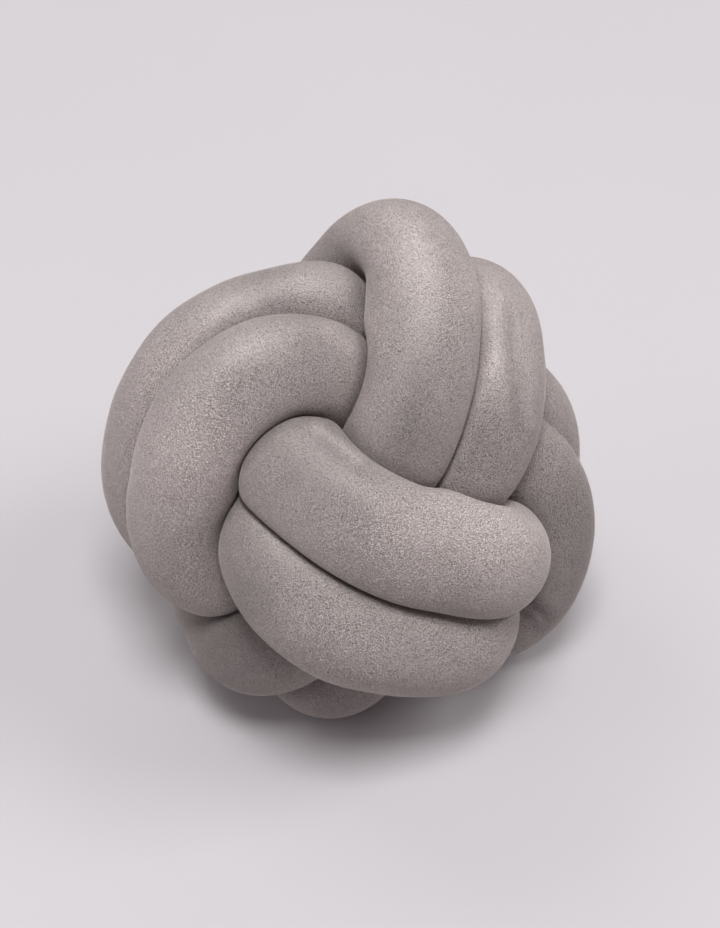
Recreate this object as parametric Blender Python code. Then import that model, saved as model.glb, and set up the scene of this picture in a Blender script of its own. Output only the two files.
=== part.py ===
"""Knot cushion: one long stuffed plush tube tied into a ball, its two ends joined inside.

The tube makes three bands that cross at right angles, two lanes to a band. The left band lies
over the low band, the low band over the top band, and the top band over the left band. The
route is first laid out as rings, then settled like a soft rope: it keeps its length, bends
gently, presses against itself and the floor, and passes through the places where each lane
shows from the front. Every section of the tube then swells until it meets the plane midway to
the pass beside it, so passes that touch are flattened against each other.
"""

import math

import bpy
import numpy as np

# ---- driving dimensions, metres ----
TUBE_RADIUS = 0.0312        # of the stuffed tube where nothing presses it
MOST_SWELLING = 1.06        # a squeezed section's free radius, as a share of its stuffed one
LEAST_SWELLING = 0.90
CROWN_RADIUS = 0.1165       # ball's centre to a lane's centreline where it passes over
TUCKED_RADIUS = 0.0640      # the same where it passes under
LANE_OFFSET = 0.0300        # a band's middle to the centreline of each lane
PRESSED_SPACING = 0.0478    # centrelines nearer than this push each other away
NEXT_PASS = 0.1052          # places nearer than this along the tube don't press each other
SIDE_SPACING = 0.0500       # lanes that run side by side close up to this
CLOSING_REACH = 0.0850      # lanes further apart than this don't close up
INNER_REACH = 0.0800        # nor do passes whose centreline is this near the ball's centre
OUTER_REACH = 0.1000        # and only those beyond this close up fully
ALIKE = 0.75                # cosine between two lanes that count as side by side
LOOSE_CORE = 0.0350         # the joined ends stay this near the ball's centre
BALL_REACH = 0.1210         # the knot is pulled tight, so centrelines further out are drawn in
TIGHTENING = 0.97           # the settled route's length, as a share of the one laid out
FLOOR_DROP = 0.1278         # ball's centre above the floor
FLOOR_SQUASH = 0.86         # height of a centreline pressed to the floor, as a share of TUBE_RADIUS
SKIN_GAP = 0.0014           # between two passes that touch

# ---- how the ball sits, and where it is seen from ----
VIEW_DISTANCE = 1.39        # eye to the ball's centre
VIEW_PITCH = math.radians(45.0)
KNOT_TURN = math.radians(43.0)
KNOT_LEAN = math.radians(8.0)

# ---- what a settling step does, as shares of each misfit ----
PRESSING = 0.125
CROWDING = 0.7              # power of the number of passes that press one bead at once
CLOSING = 0.15
SIGHTING = 0.25
SIGHT_SPREAD = 4            # beads beside a sighted one that are drawn along
STIFFNESS = 0.3
DRAWING_IN = 0.15
FLOOR_GIVE = 0.3
LONGEST_STEP = 0.0018       # metres
BOND_ROUNDS = 12
SIGHT_INTERVAL = 40         # steps from one choice of the sighted beads to the next

# ---- how a section meets what is beside it ----
NEIGHBOUR_REACH = 2.6       # passes further off than this many tube radii don't press
LEAST_BEND_ROOM = 0.0040    # metres
BEND_CLEARANCE = 0.92       # of the room inside a bend
FLATNESS = 12               # power of the blend from round to flattened
AREA_ROUNDS = 12

# ---- fineness ----
BEADS = 440                 # of the rope while it settles, an even number
SETTLING_STEPS = 400
RINGS = 312
SIDES = 16
NEIGHBOUR_POINTS = 1400
BATCHES = 28                # rings are handled in this many batches, to spare memory

# Where each lane's centreline shows from the front, in millimetres from the ball's centre:
# across to the right, up the picture and, where it is known, towards the eye.
SIGHTS = {
    "left inner": ((-13, 49), (-49, 47), (-68, 32), (-83, 12), (-91, -10), (-95, -31), (-90, -51)),
    "left outer": ((-7, 84), (-49, 74), (-88, 49), (-108, 16), (-111, -12), (-105, -33, -5)),
    "top inner": ((36, 13), (43, 47), (45, 79), (38, 106), (24, 121), (10, 117), (1, 99, -12),
                  (-11, 76, -14)),
    "top outer": ((70, 6), (80, 35), (82, 62), (76, 80)),
    "low inner": ((-36, -3), (-8, -28), (14, -39, 99), (38, -48, 91), (60, -50, 78), (71, -45)),
    "low outer": ((-41, -41, 60), (-32, -64), (-12, -90), (17, -103), (46, -105), (66, -96)),
    "right inner": ((108, -16), (113, -49), (106, -78)),
    "right outer": ((102, 13),),
    "foot inner": ((-67, -77), (-62, -99), (-47, -108)),
    "foot outer": ((-3, -116),),
}
FRONT_DEPTH = -0.035        # beads behind this depth can't be the ones that show

# How fully the tube is stuffed along a lane, where that differs, as a share of TUBE_RADIUS.
FULLNESS = {"low inner": 1.08, "low outer": 1.03, "top inner": 1.03, "top outer": 0.98,
            "left inner": 0.97, "left outer": 0.98, "foot inner": 0.97}

# The seven quarter turns of each band, by the name of the lane that they belong to.
LEFT_LANES = ("left inner", "left inner", "right inner", "right inner",
              "left outer", "left outer", "right outer")
TOP_LANES = ("top outer", "top outer", "foot outer", "foot outer",
             "top inner", "top inner", "foot inner")
LOW_LANES = ("low outer", "low outer", "back", "back", "low inner", "low inner", "back")

FLOOR_UP = np.array((0.0, math.cos(VIEW_PITCH), math.sin(VIEW_PITCH)))
FAR = 9.0                   # metres, stands for nothing in the way


def unit(v):
    """A vector divided by its length."""
    return v / np.linalg.norm(v)


def crossing_axes():
    """Three directions at right angles, spread evenly round the line of sight and leaned back."""
    tilt = math.acos(1 / math.sqrt(3))
    rows = []
    for bearing in (KNOT_TURN, KNOT_TURN - 2 * math.pi / 3, KNOT_TURN + 2 * math.pi / 3):
        rows.append((math.sin(tilt) * math.cos(bearing),
                     math.sin(tilt) * math.sin(bearing),
                     math.cos(tilt)))
    c, s = math.cos(KNOT_LEAN), math.sin(KNOT_LEAN)
    lean = np.array(((1, 0, 0), (0, c, s), (0, -s, c)))
    return np.array(rows) @ lean.T


def quarter_turn(start, end, start_radius, end_radius, normal, lane_from, lane_to):
    """Six points from start to end; radius and lane blend from one end to the other."""
    angle = np.linspace(0, math.pi / 2, 6, endpoint=False)[:, None]
    share = angle / (math.pi / 2)
    radius = (start_radius + end_radius) / 2 + (start_radius - end_radius) / 2 * np.cos(2 * angle)
    lane = (1 - share) * lane_from + share * lane_to
    ring = radius * (np.cos(angle) * start + np.sin(angle) * end)
    return ring + LANE_OFFSET * lane * normal


def band(first, second, normal, first_lane):
    """Seven quarter turns round one band from a tucked place; the fourth changes lanes."""
    heads = (first, second, -first, -second)
    radii = (TUCKED_RADIUS, CROWN_RADIUS)
    rows = []
    for k in range(7):
        lane_from = first_lane if k < 4 else -first_lane
        lane_to = first_lane if k < 3 else -first_lane
        rows.append(quarter_turn(heads[k % 4], heads[(k + 1) % 4], radii[k % 2],
                                 radii[(k + 1) % 2], normal, lane_from, lane_to))
    return rows


def laid_out_route():
    """Points of the whole closed route in order, and the lane that each belongs to."""
    a, b, c = crossing_axes()
    stretches = [
        ("core", [CROWN_RADIUS * (0.20 * b - 0.40 * a - 0.30 * c)]),
        *zip(LEFT_LANES, band(-a, c, b, 1)),
        ("turn", [CROWN_RADIUS * 0.98 * unit(-c - 0.25 * a - 0.35 * b),
                  CROWN_RADIUS * 0.80 * unit(-c - 0.55 * a - b)]),
        *zip(TOP_LANES, band(-b, a, c, -1)),
        ("turn", [CROWN_RADIUS * 0.98 * unit(-a - 0.35 * b + 0.25 * c),
                  CROWN_RADIUS * 0.80 * unit(c - 0.55 * a - 0.55 * b)]),
        *zip(LOW_LANES, band(c, b, a, -1)),
        ("turn", [CROWN_RADIUS * unit(0.3 * a - b)]),
        ("core", [CROWN_RADIUS * (0.22 * a - 0.62 * b + 0.20 * c),
                  CROWN_RADIUS * (0.10 * a - 0.25 * b - 0.10 * c),
                  CROWN_RADIUS * (-0.12 * a - 0.35 * c)]),
    ]
    points = np.concatenate([np.array(rows) for _, rows in stretches])
    names = np.array([name for name, rows in stretches for _ in rows])
    return points, names


def curve_through(points, places):
    """The closed Catmull-Rom curve through the points, read at places counted in points."""
    i = np.floor(places).astype(int)
    f = (places - i)[:, None]
    p0, p1, p2, p3 = (points[(i + k) % len(points)] for k in (-1, 0, 1, 2))
    return 0.5 * (2 * p1 + (p2 - p0) * f + (2 * p0 - 5 * p1 + 4 * p2 - p3) * f**2
                  + (3 * p1 - p0 - 3 * p2 + p3) * f**3)


def even_places(points, count):
    """Places on that curve at equal distances along it."""
    fine = np.arange(len(points) * 20) / 20
    run = curve_through(points, fine)
    step = np.linalg.norm(np.roll(run, -1, axis=0) - run, axis=1)
    walked = np.concatenate(([0], np.cumsum(step)))
    return np.interp(np.arange(count) / count * walked[-1], walked, np.append(fine, len(points)))


def nearest_beads(beads, names):
    """For each sight, the bead of its lane that shows nearest to it, and the sight in metres."""
    seen = beads[:, :2] * (VIEW_DISTANCE / (VIEW_DISTANCE - beads[:, 2]))[:, None]
    picked, aims = [], []
    for name, rows in SIGHTS.items():
        able = np.flatnonzero((names == name) & (beads[:, 2] > FRONT_DEPTH))
        for row in rows:
            across_up = np.array(row[:2]) / 1000
            depth = row[2] / 1000 if len(row) > 2 else math.nan
            away = np.hypot(*(seen[able] - across_up).T)
            if not math.isnan(depth):
                away = np.hypot(away, beads[able, 2] - depth)
            picked.append(able[np.argmin(away)])
            aims.append((*across_up, depth))
    return np.array(picked), np.array(aims)


def keep_bonds(beads, bond):
    """Moves each pair of neighbours equally until all bonds have their length again."""
    count = len(beads)
    for _ in range(BOND_ROUNDS):
        for parity in (0, 1):
            here = np.arange(parity, count, 2)
            there = (here + 1) % count
            gap = beads[there] - beads[here]
            length = np.linalg.norm(gap, axis=1)
            shift = gap * ((length - bond) / length)[:, None] * 0.5
            beads[here] += shift
            beads[there] -= shift


def pressing(x, one, other):
    """Moves for passes that are too near: each pair pushes apart, shared among crowded beads."""
    away = x[other] - x[one]
    distance = np.linalg.norm(away, axis=1)
    near = distance < PRESSED_SPACING
    overlap = (PRESSED_SPACING - distance[near])[:, None]
    push = PRESSING * overlap * away[near] / distance[near, None]
    move = np.zeros_like(x)
    touched = np.zeros(len(x))
    np.add.at(move, other[near], push)
    np.add.at(move, one[near], -push)
    np.add.at(touched, other[near], 1)
    np.add.at(touched, one[near], 1)
    return move / np.maximum(touched, 1)[:, None] ** CROWDING


def closing_up(x, far_along):
    """Moves that bring outer lanes that run side by side up to SIDE_SPACING."""
    run = np.roll(x, -1, axis=0) - np.roll(x, 1, axis=0)
    run /= np.linalg.norm(run, axis=1)[:, None]
    gap = np.linalg.norm(x[None] - x[:, None], axis=2)
    gap = np.where(far_along & (np.abs(run @ run.T) > ALIKE), gap, FAR)
    mate = gap.argmin(axis=1)
    least = gap.min(axis=1)
    slack = np.where(least < CLOSING_REACH, np.maximum(least - SIDE_SPACING, 0), 0)
    reach = np.linalg.norm(x, axis=1)
    outer = np.clip((reach - INNER_REACH) / (OUTER_REACH - INNER_REACH), 0, 1)
    return CLOSING * (outer * outer[mate] * slack / least)[:, None] * (x[mate] - x)


def sighting(x, picked, aims):
    """Moves that draw each sighted bead, and those beside it, to where it shows."""
    nearer = VIEW_DISTANCE / (VIEW_DISTANCE - x[picked, 2])
    miss = np.zeros((len(picked), 3))
    miss[:, :2] = aims[:, :2] / nearer[:, None] - x[picked, :2]
    miss[:, 2] = np.where(np.isnan(aims[:, 2]), 0, aims[:, 2] - x[picked, 2])
    total = np.zeros_like(x)
    weight = np.zeros(len(x))
    for k in range(-2 * SIGHT_SPREAD, 2 * SIGHT_SPREAD + 1):
        share = math.exp(-(k / SIGHT_SPREAD) ** 2)
        np.add.at(total, (picked + k) % len(x), share * miss)
        np.add.at(weight, (picked + k) % len(x), share)
    return SIGHTING * total / np.maximum(weight, 1)[:, None]


def settle(beads, names):
    """Lets the rope of beads press, bend and slide into place, step by step."""
    count = len(beads)
    bond = TIGHTENING * np.linalg.norm(np.roll(beads, -1, axis=0) - beads, axis=1).mean()
    core = np.flatnonzero(names == "core")
    ahead = np.arange(count)[None] - np.arange(count)[:, None]
    apart = np.minimum(np.abs(ahead), count - np.abs(ahead))
    far_along = apart >= math.ceil(NEXT_PASS / bond)
    one, other = np.nonzero((ahead > 0) & far_along)
    x = beads.copy()
    for step in range(SETTLING_STEPS):
        if step % SIGHT_INTERVAL == 0:
            picked, aims = nearest_beads(x, names)
        move = pressing(x, one, other) + closing_up(x, far_along) + sighting(x, picked, aims)
        # stuffing resists bending
        bend = (np.roll(x, 1, axis=0) + np.roll(x, -1, axis=0)) / 2 - x
        move -= STIFFNESS * ((np.roll(bend, 1, axis=0) + np.roll(bend, -1, axis=0)) / 2 - bend)
        # the knot is drawn in
        reach = np.linalg.norm(x, axis=1)
        move -= DRAWING_IN * (np.maximum(reach - BALL_REACH, 0) / reach)[:, None] * x
        # the joined ends stay in the core, and nothing sinks into the floor
        outside = np.maximum(np.linalg.norm(x[core], axis=1) - LOOSE_CORE, 0)
        move[core] -= outside[:, None] * x[core]
        sunk = np.maximum(FLOOR_SQUASH * TUBE_RADIUS - FLOOR_DROP - x @ FLOOR_UP, 0)
        move += FLOOR_GIVE * sunk[:, None] * FLOOR_UP
        x = x + np.clip(move, -LONGEST_STEP, LONGEST_STEP)
        keep_bonds(x, bond)
    return x


def untwisted_frames(x):
    """Tangents of the closed path, and two normals carried along it, their last turn shared out."""
    tangent = np.roll(x, -1, axis=0) - np.roll(x, 1, axis=0)
    tangent /= np.linalg.norm(tangent, axis=1)[:, None]
    normal = np.zeros_like(x)
    normal[0] = unit(np.cross(tangent[0], (0.3, 0.5, 0.8)))
    for i in range(1, len(x)):
        normal[i] = unit(normal[i - 1] - tangent[i] * (normal[i - 1] @ tangent[i]))
    last = normal[-1] - tangent[0] * (normal[-1] @ tangent[0])
    closing = math.atan2(last @ np.cross(tangent[0], normal[0]), last @ normal[0])
    turn = (-closing * np.arange(len(x)) / len(x))[:, None]
    side = np.cross(tangent, normal)
    normal = normal * np.cos(turn) + side * np.sin(turn)
    return tangent, normal, np.cross(tangent, normal)


def room_to_neighbours(x, spokes, dense):
    """Length of each spoke up to the plane midway to any other pass, less half the skin gap."""
    count = len(x)
    step = np.linalg.norm(np.roll(x, -1, axis=0) - x, axis=1).mean()
    dense_at = np.arange(len(dense)) * (count / len(dense))
    room = np.full(spokes.shape[:2], FAR)
    for rows in np.array_split(np.arange(count), BATCHES):
        away = dense[None] - x[rows][:, None]
        squared = (away * away).sum(2)
        along_tube = np.abs(dense_at[None] - rows[:, None])
        along_tube = np.minimum(along_tube, count - along_tube) * step
        counts = (squared < (NEIGHBOUR_REACH * TUBE_RADIUS) ** 2) & (along_tube > PRESSED_SPACING)
        used = np.flatnonzero(counts.any(axis=0))
        if not len(used):
            continue
        facing = np.einsum("rsk,rnk->rsn", spokes[rows], away[:, used])
        half = (squared[:, used] - np.sqrt(squared[:, used]) * SKIN_GAP) / 2
        meets = counts[:, None, used] & (facing > 1e-5)
        reached = np.where(meets, half[:, None] / np.where(meets, facing, 1), FAR)
        room[rows] = reached.min(axis=2)
    return room


def room_in_bend(x, tangent, spokes):
    """Length of each spoke up to the nearest ring of the same bend, so rings never cross."""
    step = np.linalg.norm(np.roll(x, -1, axis=0) - x, axis=1).mean()
    room = np.full(spokes.shape[:2], FAR)
    for k in range(1, int(PRESSED_SPACING / step) + 1):
        for shift in (k, -k):
            ring = np.roll(tangent, -shift, axis=0) * np.sign(shift)
            ahead = ((np.roll(x, -shift, axis=0) - x) * ring).sum(1)[:, None]
            facing = (spokes * ring[:, None]).sum(2)
            meets = facing > 1e-4
            reached = np.where(meets, ahead / np.where(meets, facing, 1), FAR)
            room = np.minimum(room, np.maximum(reached, LEAST_BEND_ROOM))
    return BEND_CLEARANCE * room


def stuffed_radii(bead_names, places):
    """The free radius at places counted in beads: each lane's fullness, blended into the next."""
    share = np.array([FULLNESS.get(name, 1.0) for name in bead_names])
    for _ in range(12):
        share = (np.roll(share, 1) + 2 * share + np.roll(share, -1)) / 4
    return TUBE_RADIUS * np.interp(places, np.arange(len(share) + 1), np.append(share, share[0]))


def softer_least(a, b):
    """Close to the lesser of two lengths, rounded where they are alike: (a^-p + b^-p)^(-1/p)."""
    return (a**-FLATNESS + b**-FLATNESS) ** (-1 / FLATNESS)


def section_radii(room, stuffed):
    """Radii of every section: round where it is free, flattened where it is held, equal in area."""
    free = stuffed.copy()
    for _ in range(AREA_ROUNDS):
        mean_square = (softer_least(room, free[:, None]) ** 2).mean(axis=1)
        free = free * stuffed / np.sqrt(mean_square)
        free = np.clip(free, LEAST_SWELLING * stuffed, MOST_SWELLING * stuffed)
        free = (np.roll(free, 1) + 2 * free + np.roll(free, -1)) / 4
    radii = softer_least(room, free[:, None])
    for axis in (0, 1, 0, 1):
        radii = (np.roll(radii, 1, axis) + 2 * radii + np.roll(radii, -1, axis)) / 4
        radii = np.minimum(radii, room)
    return radii


def standing(points):
    """From the front picture's axes to upright ones, with the floor at z = 0 and flat under it."""
    c, s = math.cos(VIEW_PITCH), math.sin(VIEW_PITCH)
    right, up, near = points[..., 0], points[..., 1], points[..., 2]
    placed = np.stack((right, up * s - near * c, up * c + near * s + FLOOR_DROP), axis=-1)
    flat = placed.reshape(-1, 3)
    middle = (flat.min(axis=0) + flat.max(axis=0)) / 2
    placed[..., :2] -= middle[:2]
    placed[..., 2] = np.maximum(placed[..., 2], 0)
    return placed


def tube_grid(rings, sides):
    """The tube's skin as a grid of points, closed along the tube and round it."""
    points, names = laid_out_route()
    places = even_places(points, BEADS)
    bead_names = names[np.floor(places).astype(int) % len(names)]
    path = settle(curve_through(points, places), bead_names)
    ring_places = even_places(path, rings)
    x = curve_through(path, ring_places)
    dense = curve_through(path, even_places(path, NEIGHBOUR_POINTS))
    tangent, normal, side = untwisted_frames(x)
    angle = (np.arange(sides) * 2 * math.pi / sides)[None, :, None]
    spokes = normal[:, None] * np.cos(angle) + side[:, None] * np.sin(angle)
    room = np.minimum(room_to_neighbours(x, spokes, dense), room_in_bend(x, tangent, spokes))
    radii = section_radii(room, stuffed_radii(bead_names, ring_places))
    return standing(x[:, None] + spokes * radii[..., None])


def plush():
    """Short warm grey pile."""
    material = bpy.data.materials.new("taupe_plush")
    material.use_nodes = True
    shader = material.node_tree.nodes["Principled BSDF"]
    shader.inputs["Base Color"].default_value = (0.45, 0.41, 0.40, 1.0)
    shader.inputs["Roughness"].default_value = 0.95
    shader.inputs["Metallic"].default_value = 0.0
    return material


def knotted_tube():
    """Lofts the unlike sections into one closed skin of quads."""
    grid = tube_grid(RINGS, SIDES)
    ring, spoke = np.meshgrid(np.arange(RINGS), np.arange(SIDES), indexing="ij")
    next_ring = (ring + 1) % RINGS
    next_spoke = (spoke + 1) % SIDES
    faces = np.stack((ring * SIDES + spoke, next_ring * SIDES + spoke,
                      next_ring * SIDES + next_spoke, ring * SIDES + next_spoke), axis=-1)
    mesh = bpy.data.meshes.new("knotted_tube")
    mesh.from_pydata(grid.reshape(-1, 3).tolist(), [], faces.reshape(-1, 4)[:, ::-1].tolist())
    mesh.shade_smooth()
    mesh.materials.append(plush())
    return bpy.data.objects.new("knotted_tube", mesh)


def main():
    for old in list(bpy.data.objects):
        bpy.data.objects.remove(old, do_unlink=True)
    collection = bpy.data.collections.new("knot_cushion")
    bpy.context.scene.collection.children.link(collection)
    collection.objects.link(knotted_tube())


main()
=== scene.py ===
"""Knot cushion: the fine skin of the stuffed plush tube, its pile, and a plain pale stage.

The tube's route is worked out as in the solid: rings are laid out, then settled like a soft rope.
The skin is finer than the solid's and has the small things that show on stuffed plush: uneven
filling, cross folds inside tight bends, lengthwise ridges, brushed patches of pile, and patches
of painted light and shade on the front.
"""

import math

import bpy
import numpy as np
from mathutils import Matrix, Vector


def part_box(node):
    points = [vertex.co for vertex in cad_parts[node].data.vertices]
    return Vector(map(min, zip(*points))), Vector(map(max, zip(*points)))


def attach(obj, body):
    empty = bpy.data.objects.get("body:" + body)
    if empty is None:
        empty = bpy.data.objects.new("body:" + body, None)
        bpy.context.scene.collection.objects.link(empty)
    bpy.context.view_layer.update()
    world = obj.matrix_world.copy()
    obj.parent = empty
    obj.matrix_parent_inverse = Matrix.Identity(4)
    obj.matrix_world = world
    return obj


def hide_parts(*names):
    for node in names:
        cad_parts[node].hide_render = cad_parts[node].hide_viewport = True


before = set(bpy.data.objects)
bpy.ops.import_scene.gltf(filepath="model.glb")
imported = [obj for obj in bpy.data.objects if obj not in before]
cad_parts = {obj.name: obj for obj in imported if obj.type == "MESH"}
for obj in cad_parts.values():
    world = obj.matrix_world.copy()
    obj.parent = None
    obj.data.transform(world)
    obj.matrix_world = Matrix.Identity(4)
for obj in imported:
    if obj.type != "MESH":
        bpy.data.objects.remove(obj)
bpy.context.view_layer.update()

bl_info = {
    "name": "Knot Cushion",
    "version": (1, 0, 0),
    "blender": (4, 5, 0),
    "location": "3D View > Sidebar > Knot Cushion",
    "description": "Adds a ball-shaped cushion knotted from one stuffed plush tube",
    "category": "Add Mesh",
}

# ---- the solid's sizes, metres ----
TUBE_RADIUS = 0.0312        # of the stuffed tube where nothing presses it
MOST_SWELLING = 1.06        # a squeezed section's free radius, as a share of its stuffed one
LEAST_SWELLING = 0.90
CROWN_RADIUS = 0.1165       # ball's centre to a lane's centreline where it passes over
TUCKED_RADIUS = 0.0640      # the same where it passes under
LANE_OFFSET = 0.0300        # a band's middle to the centreline of each lane
PRESSED_SPACING = 0.0478    # centrelines nearer than this push each other away
NEXT_PASS = 0.1052          # places nearer than this along the tube don't press each other
SIDE_SPACING = 0.0500       # lanes that run side by side close up to this
CLOSING_REACH = 0.0850      # lanes further apart than this don't close up
INNER_REACH = 0.0800        # nor do passes whose centreline is this near the ball's centre
OUTER_REACH = 0.1000        # and only those beyond this close up fully
ALIKE = 0.75                # cosine between two lanes that count as side by side
LOOSE_CORE = 0.0350         # the joined ends stay this near the ball's centre
TURN_START = 0.98           # where the tube leaves a band, as a share of CROWN_RADIUS
TURN_END = 0.80             # and where it turns into the next
BALL_REACH = 0.1210         # the knot is pulled tight, so centrelines further out are drawn in
TIGHTENING = 0.97           # the settled route's length, as a share of the one laid out
FLOOR_DROP = 0.1278         # ball's centre above the floor
FLOOR_SQUASH = 0.86         # height of a centreline pressed to the floor, as a share of TUBE_RADIUS

# ---- how the ball sits, and where it is seen from ----
VIEW_DISTANCE = 1.39        # eye to the ball's centre
VIEW_PITCH = math.radians(45.0)
KNOT_TURN = math.radians(43.0)
KNOT_LEAN = math.radians(8.0)

# ---- what a settling step does, as shares of each misfit ----
PRESSING = 0.125
CROWDING = 0.7              # power of the number of passes that press one bead at once
CLOSING = 0.15
SIGHTING = 0.25
SIGHT_SPREAD = 4            # beads beside a sighted one that are drawn along
STIFFNESS = 0.3
DRAWING_IN = 0.15
FLOOR_GIVE = 0.3
LONGEST_STEP = 0.0018       # metres
BOND_ROUNDS = 12
SIGHT_INTERVAL = 40         # steps from one choice of the sighted beads to the next

# ---- how a section meets what is beside it ----
NEIGHBOUR_REACH = 2.6       # passes further off than this many tube radii don't press
LEAST_BEND_ROOM = 0.0040    # metres
BEND_CLEARANCE = 0.92       # of the room inside a bend
FLATNESS = 12               # power of the blend from round to flattened
CRISPNESS = 18              # the same for the finished skin
AREA_ROUNDS = 12
FULLNESS_ROUNDS = 12        # rounds of smoothing: of the fullness, bead by bead
SWELLING_ROUNDS = 20        # of the free radius, ring by ring
SKIN_ROUNDS = 3             # of the skin, along and round
SQUEEZE_ROUNDS = 4          # of the squeeze inside bends
LANE_END_ROUNDS = 60        # of a lane's ends, where marks fade out
LEAST_FACING_DISTANCE = 1e-5    # metres along a spoke; what is less far along it isn't met
LEAST_FACING = 1e-4         # cosine between a spoke and the next ring's plane, likewise
FIRST_SPOKE = (0.3, 0.5, 0.8)   # any direction that the path doesn't start along

# ---- uneven filling, folds and brushed patches ----
# Waves: most turns along the tube, most turns round it, share of the height, and how many.
LUMP_WAVES = ((48, 2, 0.7, 9), (110, 4, 0.3, 12))
FOLD_WAVES = ((60, 2, 1.0, 8),)
PATCH_WAVES = ((84, 2, 0.75, 9), (170, 3, 0.25, 9))
LUMP_SEED = 11
FOLD_SEED = 23
PATCH_SEED = 37
FOLD_WANDER = 1.7           # radians that the cross folds stray from even spacing
FOLDED_FROM = 0.30          # radius over bend radius: folds start here
FOLDED_FULLY = 0.75         # and have their full depth from here
FREE_MARGIN = 0.10          # with this share of the radius free beyond it, skin folds fully
PATCH_CONTRAST = 1.4        # before the patches are held between -1 and 1
HIDDEN_BELOW = -0.4         # a spoke's part towards the eye: marks on the front end here
SHOWN_ABOVE = 0.3           # and have their full strength from here

# ---- the pile ----
TIP_SHARE = 0.3             # width of one tip, as a share of a tuft's
MOTTLES = 70.0              # blotches of the faint mottling to a metre
STROKES = 18.0              # brushed blotches to a metre
TUFT_SHADE = 0.012          # how far each layer moves the colour from deep to tip
MOTTLE_SHADE = 0.03
STROKE_SHADE = 0.05
TUFT_RELIEF = 0.1           # height of the tufts, as a share of the tips'

# ---- the stage ----
# Square lamps: place from the ball's centre and side, metres, and share of the lamps' power.
LAMPS = {
    "key_lamp": ((0.0, -1.50, 4.70), 1.6, 0.47),
    "right_lamp": ((3.60, 0.0, 3.60), 2.4, 0.24),
    "left_lamp": ((-2.40, 2.40, 3.80), 2.4, 0.12),
    "low_left_lamp": ((-4.80, -0.60, 1.40), 2.4, 0.11),
    "back_lamp": ((0.0, 4.40, 2.50), 2.4, 0.06),
}
LAMP_COLOUR = (0.985, 0.995, 1.0)
ROOM_COLOUR = (1.0, 0.895, 0.925)
FLOOR_CLOUDS = 3.0          # clouds of the floor's faint unevenness to a metre
FLOOR_DARKEST = 0.985       # as a share of the floor's colour
FLOOR_LIGHTEST = 1.015
# The knot's own centre, from the middle of its footprint: to the right and to the back.
CENTRE_RIGHT = -0.0017
CENTRE_BACK = 0.0070
# The ball's centre shows left of the picture's middle and a little above it.
CENTRE_LEFT = 0.0075
CENTRE_ABOVE = 0.0023

# ---- fineness ----
QUARTERS = 7                # quarter turns of a band
LANE_CHANGE = 3             # the one, counted from 0, in which a band changes lanes
QUARTER_POINTS = 6
FINE_STEPS = 20             # between two points, to measure along a curve
BEADS = 440                 # of the rope while it settles, an even number
SETTLING_STEPS = 400
RINGS = 1400
SIDES = 68
NEIGHBOUR_POINTS = 2200
BATCHES = 100               # rings are handled in this many batches, to spare memory

# Where each lane's centreline shows from the front, in millimetres from the ball's centre:
# across to the right, up the picture and, where it is known, towards the eye.
SIGHTS = {
    "left inner": ((-13, 49), (-49, 47), (-68, 32), (-83, 12), (-91, -10), (-95, -31), (-90, -51)),
    "left outer": ((-7, 84), (-49, 74), (-88, 49), (-108, 16), (-111, -12), (-105, -33, -5)),
    "top inner": ((36, 13), (43, 47), (45, 79), (38, 106), (24, 121), (10, 117), (1, 99, -12),
                  (-11, 76, -14)),
    "top outer": ((70, 6), (80, 35), (82, 62), (76, 80)),
    "low inner": ((-36, -3), (-8, -28), (14, -39, 99), (38, -48, 91), (60, -50, 78), (71, -45)),
    "low outer": ((-41, -41, 60), (-32, -64), (-12, -90), (17, -103), (46, -105), (66, -96)),
    "right inner": ((108, -16), (113, -49), (106, -78)),
    "right outer": ((102, 13),),
    "foot inner": ((-67, -77), (-62, -99), (-47, -108)),
    "foot outer": ((-3, -116),),
}
FRONT_DEPTH = -0.035        # beads behind this depth can't be the ones that show

# How fully the tube is stuffed along a lane, where that differs, as a share of TUBE_RADIUS.
FULLNESS = {"low inner": 1.08, "low outer": 1.03, "top inner": 1.03, "top outer": 0.98,
            "left inner": 0.97, "left outer": 0.98, "foot inner": 0.97}

# Patches where the pile looks lighter (+) or darker (-), partly brushed pile and partly painted
# light and shade: on each lane, millimetres across and up from the ball's centre as seen from the
# front, the patch's reach, and how much.
# Painted shade: the darker patches where strands tuck under or between one another and on the lower
# strands. Painted light: the lighter patches on the left strands, the tops and rims of the top
# strands and the low inner strand's right end.
BRUSHED_AND_PAINTED_LIGHT = {
    "top inner": ((33, 128, 32, 0.28), (42, 64, 26, -0.25), (39, 15, 30, -0.36),
                  (-9, 114, 16, -0.38), (72, 98, 20, 0.24), (9, 74, 18, 0.34), (8, 34, 14, 0.24)),
    "top outer": ((83, 10, 28, -0.29), (98, 104, 30, 0.26), (90, 56, 16, 0.13)),
    "left inner": ((-93, -2, 34, 0.45), (-25, 62, 28, -0.13), (-22, 66, 10, -0.12),
                   (-96, -60, 26, -0.06)),
    "left outer": ((-44, 92, 22, -0.34), (-24, 103, 8, 0.12), (8, 92, 9, -0.35),
                   (-112, 50, 34, 0.23), (-126, 0, 26, 0.08)),
    "low inner": ((-14, 8, 27, -0.53), (-34, -22, 20, -0.10), (6, -26, 22, -0.10),
                  (44, -38, 26, 0.23), (96, -38, 32, 0.54), (62, -22, 20, 0.18),
                  (68, -75, 20, -0.14)),
    "low outer": ((-56, -75, 28, -0.38),),
    "right inner": ((132, -35, 50, -0.43), (120, -90, 32, -0.23)),
    "foot inner": ((-68, -110, 42, -0.60),),
    "foot outer": ((-10, -139, 40, -0.34),),
}
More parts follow.
